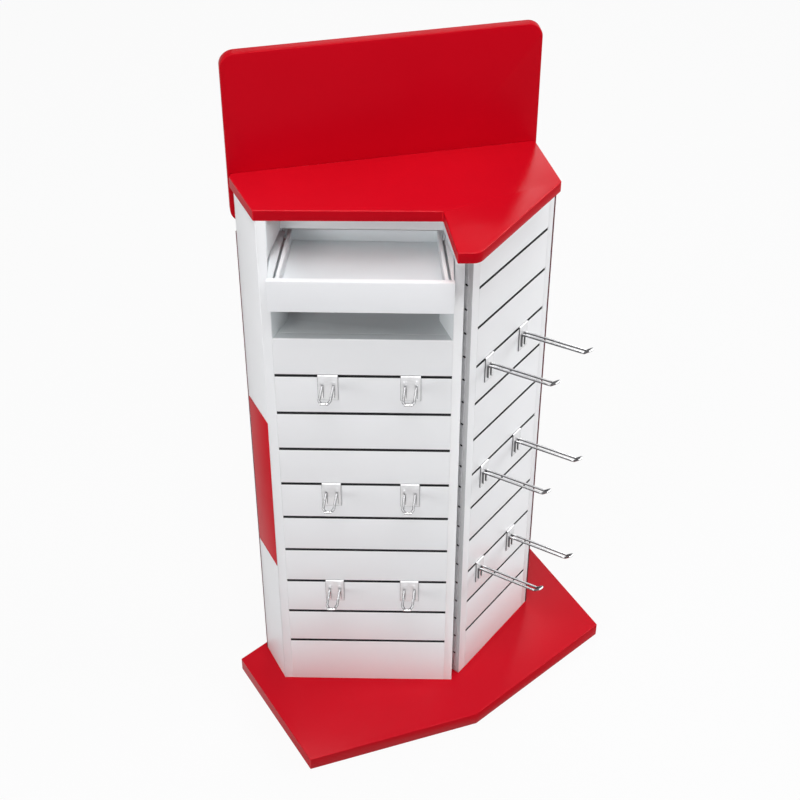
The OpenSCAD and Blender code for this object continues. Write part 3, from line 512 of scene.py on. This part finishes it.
boards = {
    "base_plate": {"finish": "redBase", "slot": "red_lacquer", "arris": 0.0016,
                   "also": [("redUprightShaded", "sides")]},
    "worktop": {"finish": "redLacquer", "slot": "red_lacquer", "arris": 0.0016,
                "also": [("redUprightShaded", "sides")]},
    "backboard": {"finish": "redUprightShaded", "slot": "red_lacquer", "arris": 0.0016},
    "rear_sheet_left": {"finish": "redSheet", "slot": "red_sheet", "arris": 0.0005,
                        "also": [("whiteLaminate", "inside"), ("redEdge", "edges")]},
    "rear_sheet_middle": {"finish": "redSheet", "slot": "red_sheet", "arris": 0.0005,
                          "also": [("whiteLaminate", "inside"), ("redEdge", "edges")]},
    "rear_sheet_right": {"finish": "redSheet", "slot": "red_sheet", "arris": 0.0005,
                         "also": [("whiteLaminate", "inside"), ("redEdge", "edges")]},
    "rear_cover": {"finish": "redSheet", "slot": "red_sheet", "arris": 0.001},
    "side_band": {"finish": "redBand", "slot": "red_band", "arris": 0.0003},
    "bottom_board_front": {"finish": "whiteLaminate", "slot": "cabinet_white", "arris": 0.0006},
    "bottom_board_side": {"finish": "whiteLaminate", "slot": "cabinet_white", "arris": 0.0006},
    "side_panel_left": {"finish": "whiteLaminate", "slot": "cabinet_white", "arris": 0.0008},
    "outer_stile": {"finish": "whiteLaminate", "slot": "cabinet_white", "arris": 0.001},
    "divider_panel": {"finish": "edgeWhite", "slot": "cabinet_white", "arris": 0.001},
    "bay_shelf": {"finish": "shelfShadedWhite", "slot": "cabinet_white", "arris": 0.0008},
    "jamb_left": {"finish": "innerShadedWhite", "slot": "cabinet_white", "arris": 0.0006},
    "jamb_right": {"finish": "innerShadedWhite", "slot": "cabinet_white", "arris": 0.0006},
    "bay_rail": {"finish": "innerShadedWhite", "slot": "cabinet_white", "arris": 0.0008},
    "near_post": {"finish": "whiteLaminate", "slot": "cabinet_white", "arris": 0.001,
                  "also": [("veeShadeGrey", "vee"), ("blackLinerAndRecessShade", "bores")]},
    "far_stile": {"finish": "whiteLaminate", "slot": "cabinet_white", "arris": 0.0008},
    "side_cap": {"finish": "whiteLaminate", "slot": "cabinet_white", "arris": 0.0008},
    "riser_frame": {"finish": "whiteLaminate", "slot": "cabinet_white", "arris": 0.0008},
    "top_board": {"finish": "innerShadedWhite", "slot": "cabinet_white", "arris": 0.0008},
    "back_filler": {"finish": "whiteLaminate", "slot": "cabinet_white", "arris": 0.0006},
    # The front slat panel's top face takes a painted shade, and its wide top front arris takes a painted
    # highlight line
    "slat_panel_front": {"finish": "slatWhite", "slot": "slat_white", "arris": 0.0006, "lip": 0.0024,
                         "also": [("blackLinerAndRecessShade", "grooves"), ("shelfShadedWhite", "top"), ("edgeWhite", "lip")]},
    "slat_panel_side": {"finish": "slatWhite", "slot": "slat_white", "arris": 0.0006,
                        "also": [("blackLinerAndRecessShade", "grooves")]},
    "drawer_front": {"finish": "drawerFace", "slot": "drawer_white", "arris": 0.001,
                     "also": [("drawerTopHighlight", "top")]},
    "drawer_side_left": {"finish": "drawerWhite", "slot": "drawer_white", "arris": 0.001,
                         "also": [("drawerTopHighlight", "top")]},
    "drawer_side_right": {"finish": "drawerWhite", "slot": "drawer_white", "arris": 0.001,
                          "also": [("drawerTopHighlight", "top")]},
    "drawer_back": {"finish": "drawerWhite", "slot": "drawer_white", "arris": 0.001,
                    "also": [("drawerTopHighlight", "top")]},
    "drawer_floor": {"finish": "drawerWhite", "slot": "drawer_white", "arris": 0.0006},
    "drawer_rail_right": {"finish": "drawerWhite", "slot": "drawer_white", "arris": 0.001,
                          "also": [("drawerTopHighlight", "top")]},
    "drawer_rail_left": {"finish": "drawerWhite", "slot": "drawer_white", "arris": 0.0008},
    "slide_fixed_left": {"finish": "slideSteel", "slot": "slide_steel", "arris": 0.0005},
    "slide_fixed_right": {"finish": "slideSteel", "slot": "slide_steel", "arris": 0.0005},
    "slide_moving_left": {"finish": "slideSteel", "slot": "slide_steel", "arris": 0.0005},
    "slide_moving_right": {"finish": "slideSteel", "slot": "slide_steel", "arris": 0.0005},
    "perforated_strip": {"finish": "rolledStrip", "slot": "strip_steel", "arris": 0.0002,
                         "also": [("blackLinerAndRecessShade", "bores")]},
}
shortestArris = 0.0013    # edges shorter than this belong to drilled holes and stay as they are
sharpTurn = math.radians(28)
flatTurn = math.radians(0.4)
mergeGap = 1e-6
onPlane = 0.0001
arrisSteps = 3
boreFacet = 60e-6         # square metres: a flat face smaller than this lies in a drilled hole
endMargin = 0.005         # a board's ends aren't grooves
sheetFace = 0.02          # square metres: a smaller face of a rear sheet is one of its edges
veeWay = Vector((-0.592, -0.806, 0))      # which way the near post's face in the V looks
cabinetMiddle = Vector((-0.05, 0.02, 0))
# Where a finish goes, by how far a face's normal leans to an axis
leans = {"groove": 0.25, "flat": 0.9, "lip": 0.15, "upright": 0.3}


def asObject(name, mesh, finish):
    mesh.materials.clear()
    mesh.materials.append(finishes[finish])
    piece = bpy.data.objects.new(name, mesh)
    bpy.context.scene.collection.objects.link(piece)
    return piece


def baked(piece):
    # The evaluated shape as a plain mesh, with the modifiers gone
    view = bpy.context.evaluated_depsgraph_get()
    view.update()
    mesh = bpy.data.meshes.new_from_object(piece.evaluated_get(view))
    piece.modifiers.clear()
    old, piece.data = piece.data, mesh
    bpy.data.meshes.remove(old)
    return piece


def plainName(node):
    words = node.split("_")
    return words[0] + "".join(word.capitalize() for word in words[1:]) + "Finished"


def liesAt(where, face, eased, bottom, top):
    # Whether a face of a board lies where another finish goes
    way, centre = face.normal, face.center
    # Faces in drilled holes take the black, a painted shade
    if where == "bores":
        return face.area < boreFacet and not eased
    # Horizontal faces inside the slat grooves take the black, a painted shade
    if where == "grooves":
        return abs(way.z) > leans["groove"] and bottom < centre.z < top
    # Flat top faces: painted shade on the front slat panel's top, painted highlight on the drawer's tops
    if where == "top":
        return way.z > leans["flat"] and centre.z > top and not eased
    # The rounded top front arris of the front slat panel: a painted highlight line
    if where == "lip":
        return way.z > leans["lip"] and way.y < -leans["lip"] and centre.z > top and eased
    # Upright faces of the worktop and the base take the darker red, a painted shade
    if where == "sides":
        return abs(way.z) < leans["upright"] and not eased
    # The near post's face in the V takes the grey, a painted shade
    if where == "vee":
        return way.dot(veeWay) > leans["flat"] and not eased
    if where == "inside":
        inward = (cabinetMiddle - centre).to_2d()
        return face.area > sheetFace and way.to_2d().dot(inward) > 0
    return face.area < sheetFace


def roundedBoard(node, look):
    build = bmesh.new()
    build.from_mesh(cadNodes[node].data)
    bmesh.ops.remove_doubles(build, verts=build.verts, dist=mergeGap)
    bmesh.ops.dissolve_limit(build, angle_limit=flatTurn, verts=build.verts, edges=build.edges)
    weight = build.edges.layers.float.new("bevel_weight_edge")
    top, front = max(v.co.z for v in build.verts), min(v.co.y for v in build.verts)
    widest = look.get("lip", look["arris"])
    for edge in build.edges:
        if len(edge.link_faces) == 2 and edge.calc_face_angle(0) > sharpTurn:
            if edge.calc_length() > shortestArris:
                atLip = all(v.co.z > top - onPlane and v.co.y < front + onPlane for v in edge.verts)
                edge[weight] = 1.0 if atLip else look["arris"] / widest
            else:
                edge.smooth = False
    for face in build.faces:
        face.smooth = True
    mesh = bpy.data.meshes.new(plainName(node))
    build.to_mesh(mesh)
    build.free()
    piece = asObject(plainName(node), mesh, look["finish"])
    mesh.materials.append(finishes[look["finish"]])
    arris = piece.modifiers.new("arris", "BEVEL")
    arris.limit_method = "WEIGHT"
    arris.width, arris.segments = widest, arrisSteps
    arris.use_clamp_overlap, arris.harden_normals = True, True
    arris.miter_outer = "MITER_ARC"
    arris.material = 1
    baked(piece)
    mesh = piece.data
    heights = [v.co.z for v in mesh.vertices]
    bottom, top = min(heights) + endMargin, max(heights) - endMargin
    worn = mesh.attributes.new("arris", "FLOAT", "CORNER")
    rounded = [face.material_index == 1 for face in mesh.polygons]
    for face in mesh.polygons:
        for corner in face.loop_indices:
            worn.data[corner].value = float(rounded[face.index])
    finishOf = [0] * len(rounded)
    for number, (finish, where) in enumerate(look.get("also", ())):
        mesh.materials.append(finishes[finish])
        for face, eased in zip(mesh.polygons, rounded):
            if liesAt(where, face, eased, bottom, top):
                finishOf[face.index] = number + 1
    mesh.materials.pop(index=1)
    mesh.polygons.foreach_set("material_index", finishOf)
    return piece


sheetRim = {"node": "rear_sheet_right", "out": 0.0026, "into": 0.0008, "thick": 0.003}


def addRim(mesh, look, finish):
    # The folded end of the rear sheet, which shows past the far stile
    far = max((v.co for v in mesh.vertices), key=lambda spot: spot.x).copy()
    near = min((v.co for v in mesh.vertices), key=lambda spot: spot.y)
    along = Vector((far.x - near.x, far.y - near.y, 0)).normalized()
    across = Vector((-along.y, along.x, 0))
    heights = [v.co.z for v in mesh.vertices]
    into, out, thick = look["into"], look["out"], look["thick"]
    steps = [(-into, 0), (out, 0), (out, thick), (-into, thick)]
    build = bmesh.new()
    build.from_mesh(mesh)
    rings = []
    for height in (min(heights), max(heights)):
        spots = [far + along * ahead + across * behind for ahead, behind in steps]
        rings.append([build.verts.new((spot.x, spot.y, height)) for spot in spots])
    low, high = rings
    walls = [(low[i], low[(i + 1) % 4], high[(i + 1) % 4], high[i]) for i in range(4)]
    for corners in [low[::-1], high, *walls]:
        build.faces.new(corners).material_index = finish
    build.to_mesh(mesh)
    build.free()


for node, look in boards.items():
    piece = roundedBoard(node, look)
    if node == sheetRim["node"]:
        addRim(piece.data, sheetRim, len(look["also"]))
    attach(piece, bodyOfNode[node])
    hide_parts(node)
print("boards finished:", len(boards))


# Geometry Nodes helpers

def newTree(name, sizes):
    tree = bpy.data.node_groups.new(name, "GeometryNodeTree")
    tree.interface.new_socket("Geometry", in_out="INPUT", socket_type="NodeSocketGeometry")
    kinds = {int: "NodeSocketInt", float: "NodeSocketFloat", tuple: "NodeSocketVector"}
    for label, start in sizes.items():
        kind = "NodeSocketMaterial" if start is None else kinds[type(start)]
        socket = tree.interface.new_socket(label, in_out="INPUT", socket_type=kind)
        if start is not None:
            socket.default_value = start
    tree.interface.new_socket("Geometry", in_out="OUTPUT", socket_type="NodeSocketGeometry")
    return tree, tree.nodes.new("NodeGroupInput"), tree.nodes.new("NodeGroupOutput")


def runTree(name, mesh, tree, values, finish):
    piece = asObject(name, mesh, finish)
    modifier = piece.modifiers.new("shape", "NODES")
    modifier.node_group = tree
    for item in tree.interface.items_tree:
        if item.in_out == "INPUT" and item.name in values:
            modifier[item.identifier] = values[item.name]
    piece.update_tag()
    return baked(piece)


def addNode(tree, kind, links=None, **settings):
    node = tree.nodes.new(kind)
    for label, value in settings.items():
        setattr(node, label, value)
    for label, value in (links or {}).items():
        if hasattr(value, "is_linked"):
            tree.links.new(value, node.inputs[label])
        else:
            node.inputs[label].default_value = value
    return node


def meshFrom(name, points, edges=(), faces=()):
    mesh = bpy.data.meshes.new(name)
    mesh.from_pydata([tuple(point) for point in points], list(edges), list(faces))
    return mesh


def nodeSpan(node, turn):
    # Corners of a CAD node in a frame turned about Z
    back = Matrix.Rotation(-turn, 3, "Z")
    places = [back @ vertex.co for vertex in cadNodes[node].data.vertices]
    low = Vector([min(place[axis] for place in places) for axis in range(3)])
    high = Vector([max(place[axis] for place in places) for axis in range(3)])
    return low, high


# Groove liners: a black profile swept along each groove

liner = {
    "mouthHalf": 0.004, "lipDepth": 0.002, "mouthDepth": 0.005, "chamberTop": 0.012, "chamberDepth": 0.011,
    "wall": 0.001, "pitch": 0.100, "inset": 0.00005, "corner": 0.0002, "cornerSteps": 2,
    "sideTurn": math.radians(53.7),
}


def linerProfile(look):
    # Outline of the section: x runs into the board and y up
    half, wall, edge = look["mouthHalf"], look["wall"], look["inset"]
    lip, mouth, deep, top = look["lipDepth"], look["mouthDepth"], look["chamberDepth"], look["chamberTop"]
    ring = [(lip, half), (mouth, half), (mouth, top), (deep, top), (deep, -half), (lip, -half),
            (lip, wall - half), (deep - wall, wall - half), (deep - wall, top - wall),
            (mouth + wall, top - wall), (mouth + wall, half - wall), (lip, half - wall)]
    shallow = mouth + wall / 2
    return [(x + edge if x < shallow else x - edge, y - edge if y > 0 else y + edge) for x, y in ring]


def makeLinerTree():
    tree, given, result = newTree("grooveLiner", {"Length": 0.3, "Pitch": 0.1, "Count": 9, "Corner": 0.0002,
                                                  "Steps": 2, "Material": None})
    outline = addNode(tree, "GeometryNodeMeshToCurve", {"Mesh": given.outputs["Geometry"]})
    eased = addNode(tree, "GeometryNodeFilletCurve", {
        "Curve": outline.outputs[0], "Count": given.outputs["Steps"], "Radius": given.outputs["Corner"],
        "Limit Radius": True}, mode="POLY")
    end = addNode(tree, "ShaderNodeCombineXYZ", {"X": given.outputs["Length"]})
    run = addNode(tree, "GeometryNodeCurvePrimitiveLine", {"End": end.outputs[0]})
    swept = addNode(tree, "GeometryNodeCurveToMesh", {
        "Curve": run.outputs[0], "Profile Curve": eased.outputs[0], "Fill Caps": True})
    step = addNode(tree, "ShaderNodeCombineXYZ", {"Z": given.outputs["Pitch"]})
    rows = addNode(tree, "GeometryNodeMeshLine", {"Count": given.outputs["Count"], "Offset": step.outputs[0]})
    placed = addNode(tree, "GeometryNodeInstanceOnPoints", {"Points": rows.outputs[0],
                                                            "Instance": swept.outputs[0]})
    real = addNode(tree, "GeometryNodeRealizeInstances", {"Geometry": placed.outputs[0]})
    dressed = addNode(tree, "GeometryNodeSetMaterial", {"Geometry": real.outputs[0],
                                                        "Material": given.outputs["Material"]})
    tree.links.new(dressed.outputs[0], result.inputs["Geometry"])
    return tree


linerTree = makeLinerTree()


def closedAndOutward(mesh):
    build = bmesh.new()
    build.from_mesh(mesh)
    bmesh.ops.remove_doubles(build, verts=build.verts, dist=mergeGap)
    bmesh.ops.recalc_face_normals(build, faces=build.faces)
    build.to_mesh(mesh)
    build.free()


def addLiners(node, turn):
    low, high = nodeSpan(node, turn)
    rise = liner["chamberTop"] + liner["mouthHalf"]
    count = int(round((high.z - low.z - rise) / liner["pitch"])) + 1
    ring = linerProfile(liner)
    profile = meshFrom("linerProfile", [(x, y, 0) for x, y in ring],
                       [(i, (i + 1) % len(ring)) for i in range(len(ring))])
    piece = runTree(plainName(node), profile, linerTree,
                    {"Length": high.x - low.x, "Pitch": liner["pitch"], "Count": count,
                     "Corner": liner["corner"], "Steps": liner["cornerSteps"],
                     "Material": finishes["blackLinerAndRecessShade"]}, "blackLinerAndRecessShade")
    return piece, count


def settle(mesh, node, turn):
    # Moves a mesh from its own axes to the CAD node's place
    low, high = nodeSpan(node, turn)
    low2 = Vector([min(v.co[axis] for v in mesh.vertices) for axis in range(3)])
    high2 = Vector([max(v.co[axis] for v in mesh.vertices) for axis in range(3)])
    mesh.transform(Matrix.Rotation(turn, 4, "Z") @ Matrix.Translation((low + high) / 2 - (low2 + high2) / 2))


for node, turn in (("groove_liners_front", 0.0), ("groove_liners_side", liner["sideTurn"])):
    piece, count = addLiners(node, turn)
    print(node, count, "grooves")
    settle(piece.data, node, turn)
    closedAndOutward(piece.data)
    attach(piece, bodyOfNode[node])
    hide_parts(node)


# Hooks: a plate bent into the groove, with one wire that runs out, round its tip and back

hooks = {
    "front": {"plateWidth": 0.040, "wire": 0.0055, "gauge": 0.022, "reach": 0.064, "turn": 0.0,
              "lean": -0.004, "root": 0.024, "tipBend": 0.006, "pinch": 0.0045, "pinchRun": 0.011},
    "side": {"plateWidth": 0.028, "wire": 0.005, "gauge": 0.010, "reach": 0.145, "turn": math.radians(53.7),
             "lean": 0.0, "root": 0.022, "tipBend": 0.005, "pinch": 0.0008, "pinchRun": 0.006},
    "plateHeight": 0.062, "plate": 0.002, "seat": 0.0003, "weld": 0.0008, "rise": math.radians(11),
    "tip": 0.020, "lipTop": 0.009, "lipBack": 0.009, "tongue": 0.0004, "foot": -0.0027, "footDepth": 0.0013,
    "roll": 0.0024, "rollSteps": 5, "rootLow": 0.85, "endBend": 0.001, "rootBend": 0.006, "runBend": 0.011,
    "pinchBend": 0.004, "plateArris": 0.0006, "arrisSteps": 2, "shadedEdgeLean": 0.25,
    # litEdge, litBlend and litWay set the painted reflection on the wires: light along the side facing
    # litWay, painted shade on the flanks
    "wireSides": 20, "bendSteps": 8, "litEdge": 0.91, "litBlend": 0.26, "litWay": (0, -0.73, 0.68),
}
hookFinishes = ("brightZinc", "drawnWire", "shadedCutEdge")


def wirePath(look):
    radius = look["wire"] / 2
    back = -hooks["seat"] - hooks["plate"] - radius + hooks["weld"]
    rootZ = -look["root"]
    lowZ = -hooks["plateHeight"] * hooks["rootLow"]
    out = back - look["reach"]
    endZ = rootZ + look["reach"] * math.tan(hooks["rise"])
    slope = hooks["tip"] * math.sqrt(0.5)
    half, lean = look["gauge"] / 2, look["lean"]
    reached = lean * look["reach"] / (look["reach"] + slope)
    run, narrow = look["pinchRun"], half - look["pinch"]
    side = [(0, half, back, lowZ), (0, half, back, rootZ),
            (reached, half, out + run, endZ - run * math.tan(hooks["rise"])),
            (reached, narrow, out, endZ), (lean, narrow, out - slope, endZ + slope)]
    bends = [hooks["endBend"], hooks["rootBend"], hooks["runBend"], hooks["pinchBend"], look["tipBend"]]
    going = [(x + wide, y, z) for x, wide, y, z in side]
    coming = [(x - wide, y, z) for x, wide, y, z in reversed(side)]
    return going + coming, bends + bends[::-1]


def platePath():
    face = -hooks["seat"] - hooks["plate"]
    under, over = hooks["tongue"], hooks["tongue"] + hooks["plate"]
    behind = hooks["lipBack"] - hooks["plate"]
    roll, turns = hooks["roll"], hooks["rollSteps"]
    angles = [math.pi / 2 * step / turns for step in range(turns + 1)]
    rolled = [(face + roll - roll * math.cos(a), over - roll + roll * math.sin(a)) for a in angles]
    return [(face, -hooks["plateHeight"]), *rolled, (behind, over), (behind, hooks["lipTop"]),
            (hooks["lipBack"], hooks["lipTop"]), (hooks["lipBack"], under), (hooks["footDepth"], under),
            (hooks["footDepth"], hooks["foot"]), (-hooks["seat"], hooks["foot"]),
            (-hooks["seat"], -hooks["plateHeight"])]


def makeWireTree():
    # The points of the route carry their own bend radius in "bend"
    tree, given, result = newTree("hookWire", {"Wire Radius": 0.0025, "Steps": 8, "Sides": 20,
                                               "Material": None})
    bend = addNode(tree, "GeometryNodeInputNamedAttribute", {"Name": "bend"}, data_type="FLOAT")
    route = addNode(tree, "GeometryNodeMeshToCurve", {"Mesh": given.outputs["Geometry"]})
    eased = addNode(tree, "GeometryNodeFilletCurve", {
        "Curve": route.outputs[0], "Count": given.outputs["Steps"], "Radius": bend.outputs["Attribute"],
        "Limit Radius": True}, mode="POLY")
    section = addNode(tree, "GeometryNodeCurvePrimitiveCircle", {"Radius": given.outputs["Wire Radius"],
                                                               "Resolution": given.outputs["Sides"]})
    swept = addNode(tree, "GeometryNodeCurveToMesh", {
        "Curve": eased.outputs[0], "Profile Curve": section.outputs[0], "Fill Caps": True})
    real = addNode(tree, "GeometryNodeRealizeInstances", {"Geometry": swept.outputs[0]})
    dressed = addNode(tree, "GeometryNodeSetMaterial", {"Geometry": real.outputs[0],
                                                        "Material": given.outputs["Material"]})
    tree.links.new(dressed.outputs[0], result.inputs["Geometry"])
    return tree


wireTree = makeWireTree()


def hookPlate(name, look):
    outline = platePath()
    half = look["plateWidth"] / 2
    count = len(outline)
    points = [(x, y, z) for x in (-half, half) for y, z in outline]
    faces = [tuple(range(count)), tuple(reversed(range(count, 2 * count)))]
    faces += [(i, i + count, (i + 1) % count + count, (i + 1) % count) for i in range(count)]
    mesh = meshFrom(name, points, (), faces)
    closedAndOutward(mesh)
    for face in mesh.polygons:
        face.use_smooth = True
    piece = asObject(name, mesh, "brightZinc")
    ease = piece.modifiers.new("bends", "BEVEL")
    ease.width, ease.segments, ease.limit_method = hooks["plateArris"], hooks["arrisSteps"], "ANGLE"
    ease.harden_normals = True
    piece = baked(piece)
    # The plate's side edges and its underside get the dark finish, a painted shade
    for face in piece.data.polygons:
        shadedFace = abs(face.normal.x) > hooks["shadedEdgeLean"] or face.normal.z < -hooks["shadedEdgeLean"]
        face.material_index = hookFinishes.index("shadedCutEdge" if shadedFace else "brightZinc")
    return piece


def paintFlankShade(mesh, sides):
    # Painted reflection on the wire: how far round the wire each point lies from its lit line, 0 on the line
    # and 1 on the flanks, which get painted shade
    lit = Vector(hooks["litWay"])
    centres = []
    for start in range(0, len(mesh.vertices), sides):
        ring = [mesh.vertices[i].co for i in range(start, min(start + sides, len(mesh.vertices)))]
        centres.append(sum(ring, Vector()) / len(ring))
    marks = []
    for number, centre in enumerate(centres):
        along = centres[min(number + 1, len(centres) - 1)] - centres[max(number - 1, 0)]
        along.normalize()
        core = (lit - lit.dot(along) * along).normalized()
        for i in range(number * sides, min((number + 1) * sides, len(mesh.vertices))):
            turned = (mesh.vertices[i].co - centre).normalized().dot(core)
            marks.append(min(1.0, max(0.0, (hooks["litEdge"] - turned) / hooks["litBlend"])))
    mesh.attributes.new("flank", "FLOAT", "POINT").data.foreach_set("value", marks)


def joinMeshes(name, pieces):
    build = bmesh.new()
    for piece in pieces:
        build.from_mesh(piece.data)
        bpy.data.objects.remove(piece)
    mesh = bpy.data.meshes.new(name)
    build.to_mesh(mesh)
    build.free()
    return mesh


def makeHook(kind):
    look = hooks[kind]
    path, bends = wirePath(look)
    route = meshFrom("wireRoute", path, [(i, i + 1) for i in range(len(path) - 1)])
    route.attributes.new("bend", "FLOAT", "POINT").data.foreach_set("value", bends)
    bent = runTree("hookWire", route, wireTree, {
        "Wire Radius": look["wire"] / 2, "Steps": hooks["bendSteps"], "Sides": hooks["wireSides"],
        "Material": finishes["drawnWire"]}, "drawnWire")
    paintFlankShade(bent.data, hooks["wireSides"])
    closedAndOutward(bent.data)
    for face in bent.data.polygons:
        face.use_smooth = True
        face.material_index = hookFinishes.index("drawnWire")
    return joinMeshes("hook", [bent, hookPlate("hookPlate", look)])


for kind in ("front", "side"):
    shape = makeHook(kind)
    for number in range(1, 7):
        node = f"hook_{kind}_{number}"
        low, high = nodeSpan(node, hooks[kind]["turn"])
        place = Vector(((low.x + high.x) / 2, high.y - hooks["lipBack"], low.z + hooks["plateHeight"]))
        mesh = shape.copy()
        mesh.transform(Matrix.Rotation(hooks[kind]["turn"], 4, "Z") @ Matrix.Translation(place))
        piece = asObject(plainName(node), mesh, hookFinishes[0])
        for finish in hookFinishes[1:]:
            mesh.materials.append(finishes[finish])
        mesh.polygons.foreach_set("material_index", [face.material_index for face in shape.polygons])
        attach(piece, bodyOfNode[node])
        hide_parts(node)
print("hooks made")


# Screws keep their CAD shape

for node in ("base_screws", "rear_screws", "backboard_screws"):
    slots = cadNodes[node].data.materials
    for index in range(len(slots)):
        slots[index] = finishes["zincScrew"]
print("screws finished")
